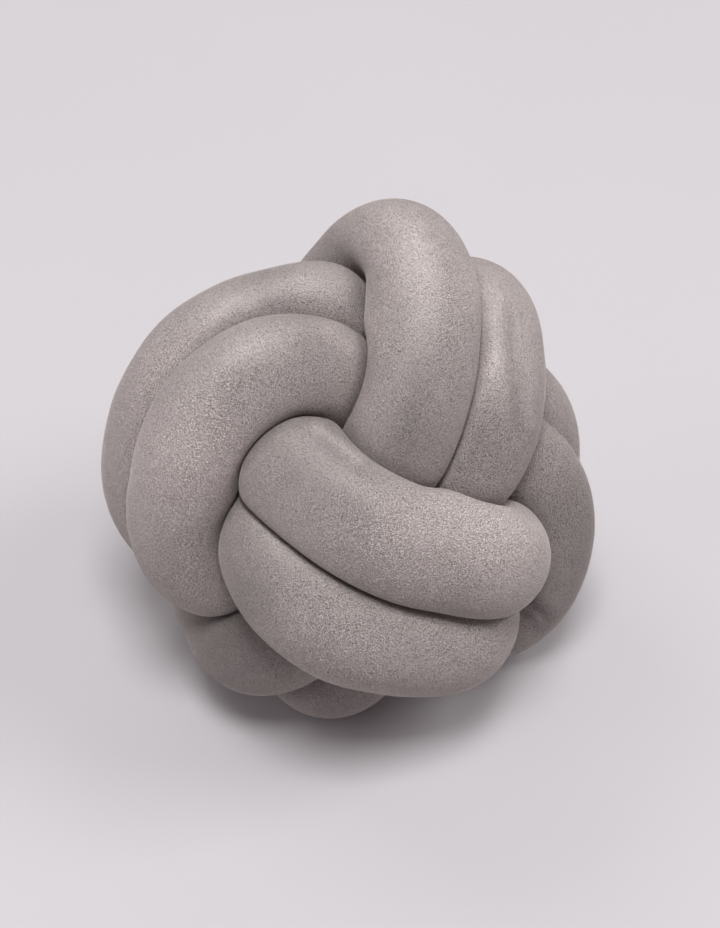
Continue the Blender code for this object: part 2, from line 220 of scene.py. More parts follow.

# Narrow marks, in the same millimetres: from a place to a place, the mark's width, how much
# lighter or darker it is, and how deep it is pressed in.
# Marks that are pressed in are also darker: painted shade in the groove or dimple.
MARKS = {
    "top inner": ((-10, 120, 4, 108, 9, -0.10, 3.5),),
    "top outer": ((96, 84, 100, 20, 3.0, -0.25, 1.8), (105, 78, 107, 20, 2.5, 0.16, 0.0)),
    "left outer": ((-75, 84, -52, 88, 3.0, 0.16, 0.0),),
    "left inner": ((-12, 76, 2, 64, 4.0, 0.34, 0.0),),
    "low inner": ((-18, 19, 7, 1, 3.5, 0.58, 0.0),),
    "right inner": ((103, -80, 117, -92, 2.5, -0.35, 2.0), (103, -89, 113, -99, 2.5, -0.30, 1.6)),
}

# A band's quarter turns, by the name of the lane that they belong to.
LEFT_LANES = ("left inner", "left inner", "right inner", "right inner",
              "left outer", "left outer", "right outer")
TOP_LANES = ("top outer", "top outer", "foot outer", "foot outer",
             "top inner", "top inner", "foot inner")
LOW_LANES = ("low outer", "low outer", "back", "back", "low inner", "low inner", "back")

FLOOR_UP = np.array((0.0, math.cos(VIEW_PITCH), math.sin(VIEW_PITCH)))
FAR = 9.0                   # metres, stands for nothing in the way


# ---------------------------------------------------------------- closed paths and blends

def unit(v):
    """A vector divided by its length."""
    return v / np.linalg.norm(v)


def step_lengths(x):
    """Distance from each point of the closed path to the next."""
    return np.linalg.norm(np.roll(x, -1, axis=0) - x, axis=1)


def headings(x):
    """Unit vectors along the closed path, each from the point before to the point after."""
    run = np.roll(x, -1, axis=0) - np.roll(x, 1, axis=0)
    return run / np.linalg.norm(run, axis=1)[:, None]


def to_neighbours(x):
    """From each point of the closed path to the middle between its two neighbours."""
    return (np.roll(x, 1, axis=0) + np.roll(x, -1, axis=0)) / 2 - x


def curve_through(points, places):
    """The closed Catmull-Rom curve through the points, read at places counted in points."""
    i = np.floor(places).astype(int)
    f = (places - i)[:, None]
    p0, p1, p2, p3 = (points[(i + k) % len(points)] for k in (-1, 0, 1, 2))
    return 0.5 * (2 * p1 + (p2 - p0) * f + (2 * p0 - 5 * p1 + 4 * p2 - p3) * f**2
                  + (3 * p1 - p0 - 3 * p2 + p3) * f**3)


def even_places(points, count):
    """Places on that curve at equal distances along it."""
    fine = np.arange(len(points) * FINE_STEPS) / FINE_STEPS
    walked = np.concatenate(([0], np.cumsum(step_lengths(curve_through(points, fine)))))
    return np.interp(np.arange(count) / count * walked[-1], walked, np.append(fine, len(points)))


def names_at(names, places):
    """The name that holds at each place, counted in points."""
    return names[np.floor(places).astype(int) % len(names)]


def smoothed(values, rounds=1, axis=0):
    """Each value blended with its two neighbours, 1 : 2 : 1, some number of times."""
    for _ in range(rounds):
        values = (np.roll(values, 1, axis) + 2 * values + np.roll(values, -1, axis)) / 4
    return values


def smooth_step(low, high, value):
    """0 below low, 1 above high, and an even S between."""
    t = np.clip((value - low) / (high - low), 0, 1)
    return t * t * (3 - 2 * t)


def softer_least(a, b, sharpness=FLATNESS):
    """Close to the lesser of two lengths, rounded where they are alike: (a^-p + b^-p)^(-1/p)."""
    return (a**-sharpness + b**-sharpness) ** (-1 / sharpness)


def magnified(depth):
    """How much larger a thing shows at a depth towards the eye than at the ball's centre."""
    return VIEW_DISTANCE / (VIEW_DISTANCE - depth)


# ---------------------------------------------------------------- the tube's route

def crossing_axes():
    """Three directions at right angles, spread evenly round the line of sight and leaned back."""
    tilt = math.acos(1 / math.sqrt(3))
    rows = []
    for bearing in (KNOT_TURN, KNOT_TURN - 2 * math.pi / 3, KNOT_TURN + 2 * math.pi / 3):
        rows.append((math.sin(tilt) * math.cos(bearing),
                     math.sin(tilt) * math.sin(bearing),
                     math.cos(tilt)))
    c, s = math.cos(KNOT_LEAN), math.sin(KNOT_LEAN)
    lean = np.array(((1, 0, 0), (0, c, s), (0, -s, c)))
    return np.array(rows) @ lean.T


def quarter_turn(start, end, start_radius, end_radius, normal, lane_from, lane_to):
    """Points from start to end; radius and lane blend from one end to the other."""
    angle = np.linspace(0, math.pi / 2, QUARTER_POINTS, endpoint=False)[:, None]
    share = angle / (math.pi / 2)
    radius = (start_radius + end_radius) / 2 + (start_radius - end_radius) / 2 * np.cos(2 * angle)
    lane = (1 - share) * lane_from + share * lane_to
    ring = radius * (np.cos(angle) * start + np.sin(angle) * end)
    return ring + LANE_OFFSET * lane * normal


def band(first, second, normal, first_lane):
    """Seven quarter turns round one band from a tucked place; the fourth changes lanes."""
    heads = (first, second, -first, -second)
    radii = (TUCKED_RADIUS, CROWN_RADIUS)
    rows = []
    for k in range(QUARTERS):
        lane_from = first_lane if k <= LANE_CHANGE else -first_lane
        lane_to = first_lane if k < LANE_CHANGE else -first_lane
        rows.append(quarter_turn(heads[k % 4], heads[(k + 1) % 4], radii[k % 2],
                                 radii[(k + 1) % 2], normal, lane_from, lane_to))
    return rows


def laid_out_route():
    """Points of the whole closed route in order, and the lane that each belongs to."""
    a, b, c = crossing_axes()
    stretches = [
        ("core", [CROWN_RADIUS * (0.20 * b - 0.40 * a - 0.30 * c)]),
        *zip(LEFT_LANES, band(-a, c, b, 1)),
        ("turn", [CROWN_RADIUS * TURN_START * unit(-c - 0.25 * a - 0.35 * b),
                  CROWN_RADIUS * TURN_END * unit(-c - 0.55 * a - b)]),
        *zip(TOP_LANES, band(-b, a, c, -1)),
        ("turn", [CROWN_RADIUS * TURN_START * unit(-a - 0.35 * b + 0.25 * c),
                  CROWN_RADIUS * TURN_END * unit(c - 0.55 * a - 0.55 * b)]),
        *zip(LOW_LANES, band(c, b, a, -1)),
        ("turn", [CROWN_RADIUS * unit(0.3 * a - b)]),
        ("core", [CROWN_RADIUS * (0.22 * a - 0.62 * b + 0.20 * c),
                  CROWN_RADIUS * (0.10 * a - 0.25 * b - 0.10 * c),
                  CROWN_RADIUS * (-0.12 * a - 0.35 * c)]),
    ]
    points = np.concatenate([np.array(rows) for _, rows in stretches])
    names = np.array([name for name, rows in stretches for _ in rows])
    return points, names


def nearest_beads(beads, names):
    """For each sight, the bead of its lane that shows nearest to it, and the sight in metres."""
    seen = beads[:, :2] * magnified(beads[:, 2])[:, None]
    picked, aims = [], []
    for name, rows in SIGHTS.items():
        able = np.flatnonzero((names == name) & (beads[:, 2] > FRONT_DEPTH))
        for row in rows:
            across_up = np.array(row[:2]) / 1000
            depth = row[2] / 1000 if len(row) > 2 else math.nan
            away = np.hypot(*(seen[able] - across_up).T)
            if not math.isnan(depth):
                away = np.hypot(away, beads[able, 2] - depth)
            picked.append(able[np.argmin(away)])
            aims.append((*across_up, depth))
    return np.array(picked), np.array(aims)


def keep_bonds(beads, bond):
    """Moves each pair of neighbours equally until all bonds have their length again."""
    count = len(beads)
    for _ in range(BOND_ROUNDS):
        for parity in (0, 1):
            here = np.arange(parity, count, 2)
            there = (here + 1) % count
            gap = beads[there] - beads[here]
            length = np.linalg.norm(gap, axis=1)
            shift = gap * ((length - bond) / length)[:, None] * 0.5
            beads[here] += shift
            beads[there] -= shift


def pressing(x, one, other):
    """Moves for passes that are too near: each pair pushes apart, shared among crowded beads."""
    away = x[other] - x[one]
    distance = np.linalg.norm(away, axis=1)
    near = distance < PRESSED_SPACING
    overlap = (PRESSED_SPACING - distance[near])[:, None]
    push = PRESSING * overlap * away[near] / distance[near, None]
    move = np.zeros_like(x)
    touched = np.zeros(len(x))
    np.add.at(move, other[near], push)
    np.add.at(move, one[near], -push)
    np.add.at(touched, other[near], 1)
    np.add.at(touched, one[near], 1)
    return move / np.maximum(touched, 1)[:, None] ** CROWDING


def closing_up(x, far_along):
    """Moves that bring outer lanes that run side by side up to SIDE_SPACING."""
    run = headings(x)
    gap = np.linalg.norm(x[None] - x[:, None], axis=2)
    gap = np.where(far_along & (np.abs(run @ run.T) > ALIKE), gap, FAR)
    mate = gap.argmin(axis=1)
    least = gap.min(axis=1)
    slack = np.where(least < CLOSING_REACH, np.maximum(least - SIDE_SPACING, 0), 0)
    reach = np.linalg.norm(x, axis=1)
    outer = np.clip((reach - INNER_REACH) / (OUTER_REACH - INNER_REACH), 0, 1)
    return CLOSING * (outer * outer[mate] * slack / least)[:, None] * (x[mate] - x)


def sighting(x, picked, aims):
    """Moves that draw each sighted bead, and those beside it, to where it shows."""
    miss = np.zeros((len(picked), 3))
    miss[:, :2] = aims[:, :2] / magnified(x[picked, 2])[:, None] - x[picked, :2]
    miss[:, 2] = np.where(np.isnan(aims[:, 2]), 0, aims[:, 2] - x[picked, 2])
    total = np.zeros_like(x)
    weight = np.zeros(len(x))
    for k in range(-2 * SIGHT_SPREAD, 2 * SIGHT_SPREAD + 1):
        share = math.exp(-(k / SIGHT_SPREAD) ** 2)
        np.add.at(total, (picked + k) % len(x), share * miss)
        np.add.at(weight, (picked + k) % len(x), share)
    return SIGHTING * total / np.maximum(weight, 1)[:, None]


def settle(beads, names):
    """Lets the rope of beads press, bend and slide into place, step by step."""
    count = len(beads)
    bond = TIGHTENING * step_lengths(beads).mean()
    core = np.flatnonzero(names == "core")
    ahead = np.arange(count)[None] - np.arange(count)[:, None]
    apart = np.minimum(np.abs(ahead), count - np.abs(ahead))
    far_along = apart >= math.ceil(NEXT_PASS / bond)
    one, other = np.nonzero((ahead > 0) & far_along)
    x = beads.copy()
    for step in range(SETTLING_STEPS):
        if step % SIGHT_INTERVAL == 0:
            picked, aims = nearest_beads(x, names)
        move = pressing(x, one, other) + closing_up(x, far_along) + sighting(x, picked, aims)
        # stuffing resists bending
        move -= STIFFNESS * to_neighbours(to_neighbours(x))
        # the knot is drawn in
        reach = np.linalg.norm(x, axis=1)
        move -= DRAWING_IN * (np.maximum(reach - BALL_REACH, 0) / reach)[:, None] * x
        # the joined ends stay in the core, and nothing sinks into the floor
        outside = np.maximum(np.linalg.norm(x[core], axis=1) - LOOSE_CORE, 0)
        move[core] -= outside[:, None] * x[core]
        sunk = np.maximum(FLOOR_SQUASH * TUBE_RADIUS - FLOOR_DROP - x @ FLOOR_UP, 0)
        move += FLOOR_GIVE * sunk[:, None] * FLOOR_UP
        x = x + np.clip(move, -LONGEST_STEP, LONGEST_STEP)
        keep_bonds(x, bond)
    return x


def settled_route():
    """The settled rope as a closed path of beads, and the lane that each bead belongs to."""
    points, names = laid_out_route()
    places = even_places(points, BEADS)
    bead_names = names_at(names, places)
    return settle(curve_through(points, places), bead_names), bead_names


# ---------------------------------------------------------------- the skin's sections

def untwisted_frames(x):
    """Tangents of the closed path, and two normals carried along it, their last turn shared out."""
    tangent = headings(x)
    normal = np.zeros_like(x)
    normal[0] = unit(np.cross(tangent[0], FIRST_SPOKE))
    for i in range(1, len(x)):
        normal[i] = unit(normal[i - 1] - tangent[i] * (normal[i - 1] @ tangent[i]))
    last = normal[-1] - tangent[0] * (normal[-1] @ tangent[0])
    closing = math.atan2(last @ np.cross(tangent[0], normal[0]), last @ normal[0])
    turn = (-closing * np.arange(len(x)) / len(x))[:, None]
    side = np.cross(tangent, normal)
    normal = normal * np.cos(turn) + side * np.sin(turn)
    return tangent, normal, np.cross(tangent, normal)


def met_after(ahead, facing, meets):
    """How far out on a spoke something is met, ahead / facing, or FAR where it isn't met."""
    return np.where(meets, ahead / np.where(meets, facing, 1), FAR)


def room_to_neighbours(x, spokes, dense, skin_gap):
    """Length of each spoke up to the plane midway to any other pass, less half the skin gap."""
    count = len(x)
    step = step_lengths(x).mean()
    dense_at = np.arange(len(dense)) * (count / len(dense))
    room = np.full(spokes.shape[:2], FAR)
    for rows in np.array_split(np.arange(count), BATCHES):
        away = dense[None] - x[rows][:, None]
        squared = (away * away).sum(2)
        along_tube = np.abs(dense_at[None] - rows[:, None])
        along_tube = np.minimum(along_tube, count - along_tube) * step
        counts = (squared < (NEIGHBOUR_REACH * TUBE_RADIUS) ** 2) & (along_tube > PRESSED_SPACING)
        used = np.flatnonzero(counts.any(axis=0))
        if not len(used):
            continue
        facing = np.einsum("rsk,rnk->rsn", spokes[rows], away[:, used])
        half = (squared[:, used] - np.sqrt(squared[:, used]) * skin_gap) / 2
        meets = counts[:, None, used] & (facing > LEAST_FACING_DISTANCE)
        room[rows] = met_after(half[:, None], facing, meets).min(axis=2)
    return room


def room_in_bend(x, tangent, spokes):
    """Length of each spoke up to the nearest ring of the same bend, so rings never cross."""
    step = step_lengths(x).mean()
    room = np.full(spokes.shape[:2], FAR)
    for k in range(1, int(PRESSED_SPACING / step) + 1):
        for shift in (k, -k):
            ring = np.roll(tangent, -shift, axis=0) * np.sign(shift)
            ahead = ((np.roll(x, -shift, axis=0) - x) * ring).sum(1)[:, None]
            facing = (spokes * ring[:, None]).sum(2)
            reached = met_after(ahead, facing, facing > LEAST_FACING)
            room = np.minimum(room, np.maximum(reached, LEAST_BEND_ROOM))
    return BEND_CLEARANCE * room


def stuffed_radii(bead_names, places):
    """The free radius at places counted in beads: each lane's fullness, blended into the next."""
    share = smoothed(np.array([FULLNESS.get(name, 1.0) for name in bead_names]), FULLNESS_ROUNDS)
    return TUBE_RADIUS * np.interp(places, np.arange(len(share) + 1), np.append(share, share[0]))


def section_radii(room, stuffed, lumps):
    """Radii of every section: round where it is free, flattened where it is held, equal in area."""
    free = stuffed.copy()
    for _ in range(AREA_ROUNDS):
        mean_square = (softer_least(room, free[:, None]) ** 2).mean(axis=1)
        free = free * stuffed / np.sqrt(mean_square)
        free = np.clip(free, LEAST_SWELLING * stuffed, MOST_SWELLING * stuffed)
        free = smoothed(free, SWELLING_ROUNDS)
    radii = softer_least(room, free[:, None] + lumps, CRISPNESS)
    for axis in (0, 1) * SKIN_ROUNDS:
        radii = np.minimum(smoothed(radii, 1, axis), room)
    return radii


# ---------------------------------------------------------------- what stuffed plush does

def rolling(along, round_it, waves, seed):
    """Smooth uneven height, mostly between -1 and 1 and closed both ways: a sum of cosines.

    Each row of waves gives the most turns along the tube, the most turns round it, the row's share
    of the height and how many waves it has. Each wave's own turns and phase are drawn at random.
    """
    draw = np.random.default_rng(seed)
    height = np.zeros(np.broadcast_shapes(along.shape, round_it.shape))
    for most_along, most_round, share, count in waves:
        for _ in range(count):
            m = draw.integers(most_along // 3, most_along + 1)
            n = draw.integers(-most_round, most_round + 1)
            phase = draw.uniform(0, 2 * math.pi)
            wave = np.cos(2 * math.pi * m * along + n * round_it + phase)
            height += share / math.sqrt(count) * wave
    return height


def lane_share(ring_names, lane):
    """How far each ring belongs to a lane, 0 to 1, blended over its ends."""
    return smoothed((ring_names == lane).astype(float), LANE_END_ROUNDS)


def from_line(across, up, start, end):
    """Distance of each place from the line between two places."""
    run = np.subtract(end, start)
    walked = ((across - start[0]) * run[0] + (up - start[1]) * run[1]) / (run @ run)
    walked = np.clip(walked, 0, 1)
    return np.hypot(across - start[0] - walked * run[0], up - start[1] - walked * run[1])


def facing_front(spokes):
    """1 where the skin faces the front, 0 where it faces away, and an even blend between."""
    return smooth_step(HIDDEN_BELOW, SHOWN_ABOVE, spokes[..., 2])


def pile_marks_and_painted_light(points, spokes, ring_names):
    """How much lighter or darker the pile looks, from brushed pile and painted light and shade, and
    how deep the skin is pressed in, in metres.

    Each patch or mark fades away from its middle as exp(-(away / reach)^2), and lies only on the
    side of the tube that faces the front.
    """
    larger = magnified(points[..., 2])
    across, up = points[..., 0] * larger * 1000, points[..., 1] * larger * 1000
    facing = facing_front(spokes)
    nap_and_painted_light, depth = np.zeros(across.shape), np.zeros(across.shape)
    # Patches of brushed pile and of painted light and shade
    for lane, rows in BRUSHED_AND_PAINTED_LIGHT.items():
        share = lane_share(ring_names, lane)[:, None] * facing
        for centre_across, centre_up, reach, lighter in rows:
            away = np.hypot(across - centre_across, up - centre_up)
            nap_and_painted_light += lighter * share * np.exp(-(away / reach) ** 2)
    # Narrow marks; the darker pressed-in ones are painted shade in their grooves
    for lane, rows in MARKS.items():
        share = lane_share(ring_names, lane)[:, None] * facing
        for *ends, width, lighter, deep in rows:
            faded = share * np.exp(-(from_line(across, up, ends[:2], ends[2:]) / width) ** 2)
            nap_and_painted_light += lighter * faded
            depth += deep / 1000 * faded
    return nap_and_painted_light, depth


def standing(points):
    """From the front picture's axes to upright ones, with the floor at z = 0 and flat under it."""
    c, s = math.cos(VIEW_PITCH), math.sin(VIEW_PITCH)
    right, up, near = points[..., 0], points[..., 1], points[..., 2]
    return np.stack((right, up * s - near * c, up * c + near * s + FLOOR_DROP), axis=-1)


def folded(settings, radii, room, bend, along, angle, length):
    """Radii with cross folds in the tight bends, where nothing presses the cloth smooth.

    The folds are grooves where a cosine along the tube is above 0. Their depth grows with how
    tight the bend is, as radius over bend radius, and with the free room beyond the skin.
    """
    squeeze = smoothed(bend * radii, SQUEEZE_ROUNDS)
    free_share = smooth_step(0.0, FREE_MARGIN, room / radii - 1)
    wander = FOLD_WANDER * rolling(along, angle, FOLD_WAVES, FOLD_SEED)
    fold_count = round(length / settings.fold_spacing)
    fold = np.maximum(np.cos(2 * math.pi * fold_count * along + wander), 0)
    fold = fold * smooth_step(FOLDED_FROM, FOLDED_FULLY, squeeze) * free_share
    return radii - settings.fold_depth * fold


def tube_skin(settings):
    """The skin as a grid of points, each point's place on the straightened sleeve, and its nap
    with painted light and shade.
    """
    path, bead_names = settled_route()
    ring_places = even_places(path, RINGS)
    x = curve_through(path, ring_places)
    dense = curve_through(path, even_places(path, NEIGHBOUR_POINTS))
    length = step_lengths(x).sum()
    tangent, normal, side = untwisted_frames(x)
    angle = (np.arange(SIDES) * 2 * math.pi / SIDES)[None, :]
    spokes = normal[:, None] * np.cos(angle)[..., None] + side[:, None] * np.sin(angle)[..., None]
    room = np.minimum(room_to_neighbours(x, spokes, dense, settings.skin_gap),
                      room_in_bend(x, tangent, spokes))
    along = (np.arange(RINGS) / RINGS)[:, None]
    lumps = settings.lump_height * rolling(along, angle, LUMP_WAVES, LUMP_SEED)
    radii = section_radii(room, stuffed_radii(bead_names, ring_places), lumps)
    curving = 2 * to_neighbours(x) / (length / RINGS) ** 2
    bend = (spokes * curving[:, None]).sum(2)
    radii = folded(settings, radii, room, bend, along, angle, length)

    ring_names = names_at(bead_names, ring_places)
    # The nap holds painted light and shade on the front as well as brushed pile.
    nap_and_painted_light, depth = pile_marks_and_painted_light(x[:, None] + spokes * radii[..., None], spokes, ring_names)
    patches = PATCH_CONTRAST * rolling(along, angle, PATCH_WAVES, PATCH_SEED)
    nap_and_painted_light = nap_and_painted_light + settings.brushing * np.clip(patches, -1, 1) * (1 - facing_front(spokes))
    points = x[:, None] + spokes * (radii - depth)[..., None]
    place = np.stack(np.broadcast_arrays(along * length, TUBE_RADIUS * np.cos(angle),
                                         TUBE_RADIUS * np.sin(angle)), axis=-1)
    return standing(points), place, nap_and_painted_light


def on_the_floor(skin):
    """Moves the skin over the solid's middle and flattens it where it meets the floor."""
    low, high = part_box("knotted_tube")
    flat = skin.reshape(-1, 3)
    middle = (flat.min(axis=0) + flat.max(axis=0)) / 2
    skin = skin.copy()
    skin[..., 0] += (low.x + high.x) / 2 - middle[0]
    skin[..., 1] += (low.y + high.y) / 2 - middle[1]
    skin[..., 2] = np.maximum(skin[..., 2], 0)
    return skin


def grid_mesh(name, skin, vectors, shares):
    """A mesh of quads on a grid closed both ways, with named vectors and shares at each point."""
    rings, sides = skin.shape[:2]
    ring, spoke = np.meshgrid(np.arange(rings), np.arange(sides), indexing="ij")
    next_ring = (ring + 1) % rings
    next_spoke = (spoke + 1) % sides
    corners = np.stack((ring * sides + next_spoke, next_ring * sides + next_spoke,
                        next_ring * sides + spoke, ring * sides + spoke), axis=-1).reshape(-1, 4)
    mesh = bpy.data.meshes.new(name)
    mesh.vertices.add(rings * sides)
    mesh.vertices.foreach_set("co", skin.astype(np.float32).ravel())
    mesh.loops.add(corners.size)
    mesh.loops.foreach_set("vertex_index", corners.astype(np.int32).ravel())
    mesh.polygons.add(len(corners))
    mesh.polygons.foreach_set("loop_start", np.arange(0, corners.size, 4, dtype=np.int32))
    mesh.update(calc_edges=True)
    for key, values in vectors.items():
        layer = mesh.attributes.new(key, "FLOAT_VECTOR", "POINT")
        layer.data.foreach_set("vector", values.astype(np.float32).ravel())
    for key, values in shares.items():
        layer = mesh.attributes.new(key, "FLOAT", "POINT")
        layer.data.foreach_set("value", values.astype(np.float32).ravel())
    mesh.shade_smooth()
    mesh.validate()
    return mesh


# ---------------------------------------------------------------- finishes

class Nodes:
    """Adds nodes to one material's tree and links them, left to right."""

    def __init__(self, material):
        material.use_nodes = True
        self.tree = material.node_tree
        self.shader = self.tree.nodes["Principled BSDF"]

    def add(self, kind, inputs=(), **options):
        """A new node; inputs are (socket, value or output to link)."""
        node = self.tree.nodes.new(kind)
        for key, value in options.items():
            setattr(node, key, value)
        for socket, value in inputs:
            self.give(node, socket, value)
        return node

    def give(self, node, socket, value):
        """Sets one of a node's inputs, or links an output to it."""
        if isinstance(value, bpy.types.NodeSocket):
            self.tree.links.new(value, node.inputs[socket])
        else:
            node.inputs[socket].default_value = value

    def math(self, operation, a, b):
        """Result of one sum on two values or outputs."""
        return self.add("ShaderNodeMath", ((0, a), (1, b)), operation=operation).outputs[0]

    def noise(self, place, scale, detail=2.0, distortion=0.0):
        """Noise at a place, about 1 / scale metres to a blotch."""
        inputs = (("Vector", place), ("Scale", scale), ("Detail", detail),
                  ("Roughness", 0.5), ("Distortion", distortion))
        return self.add("ShaderNodeTexNoise", inputs, normalize=True).outputs["Fac"]

    def spread(self, value, low, high):
        """Value drawn apart: -1 at low or less, 1 at high or more."""
        inputs = (("Value", value), ("From Min", low), ("From Max", high),
                  ("To Min", -1.0), ("To Max", 1.0))
        return self.add("ShaderNodeMapRange", inputs).outputs["Result"]

    def ramp(self, value, *stops):
        """Colour between two stops; each stop is (position, colour)."""
        node = self.add("ShaderNodeValToRGB", (("Fac", value),))
        for element, (position, colour) in zip(node.color_ramp.elements, stops):
            element.position, element.color = position, (*colour, 1)
        return node.outputs["Color"]

    def finish(self, name, value):
        """Sets one of the shader's sockets, or links it."""
        self.give(self.shader, name, value)


def plush(settings):
    """Short dense pile: fine grain, faint mottling, a soft sheen where it is seen edge-on, and
    colour scaled by the nap, which holds painted light and shade as well as brushed pile.
    """
    material = bpy.data.materials.new("taupe_plush")
    n = Nodes(material)
    sleeve = n.add("ShaderNodeAttribute", attribute_name="sleeve_place").outputs["Vector"]
    skin_place = n.add("ShaderNodeTexCoord").outputs["Object"]
    tips = n.spread(n.noise(skin_place, 1 / settings.pile_size, detail=0.0), 0.40, 0.60)
    tufts = n.spread(n.noise(skin_place, TIP_SHARE / settings.pile_size), 0.30, 0.70)
    mottle = n.spread(n.noise(sleeve, MOTTLES, detail=3.0, distortion=0.4), 0.25, 0.75)
    brushed = n.spread(n.noise(sleeve, STROKES, distortion=0.8), 0.25, 0.75)
    shade = n.math("ADD", 0.5, n.math("MULTIPLY", tips, settings.grain))
    for layer, share in ((tufts, TUFT_SHADE), (mottle, MOTTLE_SHADE), (brushed, STROKE_SHADE)):
        shade = n.math("ADD", shade, n.math("MULTIPLY", layer, share))
    colour = n.ramp(shade, (0.0, settings.deep_colour), (1.0, settings.tip_colour))
    # The nap attribute: brushed pile and painted light and shade, scaling the colour
    nap_and_painted_light = n.add("ShaderNodeAttribute", attribute_name="nap_and_painted_light").outputs["Fac"]
    inputs = ((0, colour), ("Scale", n.math("ADD", 1.0, nap_and_painted_light)))
    nap_and_painted_light_colour = n.add("ShaderNodeVectorMath", inputs, operation="SCALE")
    n.finish("Base Color", nap_and_painted_light_colour.outputs[0])
    n.finish("Roughness", 0.95)
    n.finish("Metallic", 0.0)
    n.finish("Specular IOR Level", 0.1)
    n.finish("Sheen Weight", settings.sheen)
    n.finish("Sheen Roughness", 0.3)
    n.finish("Sheen Tint", (1.0, 0.91, 0.87, 1))
    height = n.math("ADD", tips, n.math("MULTIPLY", tufts, TUFT_RELIEF))
    bump = n.add("ShaderNodeBump", (("Strength", 1.0), ("Distance", settings.pile_relief),
                                    ("Height", height)))
    n.finish("Normal", bump.outputs["Normal"])
    return material


def pale_floor(settings):
    """Smooth matt surface with the faintest unevenness."""
    material = bpy.data.materials.new("pale_floor")
    n = Nodes(material)
    cloud = n.noise(n.add("ShaderNodeTexCoord").outputs["Object"], FLOOR_CLOUDS)
    tone = np.array(settings.floor_colour)
    colour = n.ramp(cloud, (0.2, tone * FLOOR_DARKEST),
                    (0.8, np.minimum(tone * FLOOR_LIGHTEST, 1)))
    n.finish("Base Color", colour)
    n.finish("Roughness", 0.9)
    n.finish("Specular IOR Level", 0.1)
    return material


# ---------------------------------------------------------------- settings

class KnotCushionTube(bpy.types.PropertyGroup):
    """Sizes of the small things on the tube's skin, and its colours."""

    skin_gap: bpy.props.FloatProperty(
        name="Skin gap", description="Between two passes that touch",
        default=0.0005, min=0.0001, unit="LENGTH", subtype="DISTANCE")
    lump_height: bpy.props.FloatProperty(
        name="Lump height", description="How far the uneven filling raises or lowers the skin",
        default=0.0007, unit="LENGTH", subtype="DISTANCE")
    fold_spacing: bpy.props.FloatProperty(
        name="Fold spacing", description="From one cross fold to the next inside a tight bend",
        default=0.0130, min=0.004, unit="LENGTH", subtype="DISTANCE")
    fold_depth: bpy.props.FloatProperty(
        name="Fold depth", description="Depth of a cross fold where the bend is tightest",
        default=0.0010, unit="LENGTH", subtype="DISTANCE")
    pile_size: bpy.props.FloatProperty(
        name="Pile size", description="Width of one tip of the short pile",
        default=0.00037, min=0.0003, unit="LENGTH", subtype="DISTANCE")
    pile_relief: bpy.props.FloatProperty(
        name="Pile relief", description="Height that the pile's grain seems to have",
        default=0.0005, unit="LENGTH", subtype="DISTANCE")
    grain: bpy.props.FloatProperty(
        name="Grain", description="How much the tips of the pile differ in shade",
        default=0.51, min=0, max=1, subtype="FACTOR")
    brushing: bpy.props.FloatProperty(
        name="Brushing", description="How much lighter or darker the pile is in patches on the "
        "sides that the front doesn't show", default=0.14, min=0, max=1, subtype="FACTOR")
    sheen: bpy.props.FloatProperty(
        name="Sheen", description="Strength of the pile's soft sheen", default=1.0,
        min=0, max=1, subtype="FACTOR")
    deep_colour: bpy.props.FloatVectorProperty(
        name="Deep colour", description="Between the tips", size=3, subtype="COLOR",
        default=(0.145, 0.112, 0.104), min=0, max=1)
    tip_colour: bpy.props.FloatVectorProperty(
        name="Tip colour", description="Where the pile is brushed to the light", size=3,
        subtype="COLOR", default=(0.746, 0.658, 0.645), min=0, max=1)


class KnotCushionStage(bpy.types.PropertyGroup):
    """The floor, the lamps and the camera's place."""

    floor_size: bpy.props.FloatProperty(
        name="Floor size", description="Side of the square floor",
        default=12.0, unit="LENGTH", subtype="DISTANCE")
    floor_colour: bpy.props.FloatVectorProperty(
        name="Floor colour", description="Pale matt floor", size=3, subtype="COLOR",
        default=(0.610, 0.584, 0.601), min=0, max=1)
    room_light: bpy.props.FloatProperty(
        name="Room light", description="Brightness of the even light from all round",
        default=0.20, min=0)
    lamp_power: bpy.props.FloatProperty(
        name="Lamp power", description="Power of all the soft lamps together",
        default=355.0, min=0, unit="POWER")
    camera_distance: bpy.props.FloatProperty(
        name="Camera distance", description="Eye to the ball's centre",
        default=VIEW_DISTANCE, unit="LENGTH", subtype="DISTANCE")
    camera_pitch: bpy.props.FloatProperty(
        name="Camera pitch", description="How steeply the camera looks down",
        default=VIEW_PITCH, unit="ROTATION", subtype="ANGLE")
    focal_length: bpy.props.FloatProperty(
        name="Focal length", description="Of a lens for a 36 mm long side, in millimetres",
        default=93.0, min=1, subtype="DISTANCE_CAMERA", unit="CAMERA")


# ---------------------------------------------------------------- operators

def put_in_scene(name, data, matrix=None):
    """A new object for a mesh, lamp or camera, at the origin and unturned without a matrix."""
    holder = bpy.data.objects.new(name, data)
    if matrix is not None:
        holder.matrix_world = matrix
    bpy.context.scene.collection.objects.link(holder)
    return holder


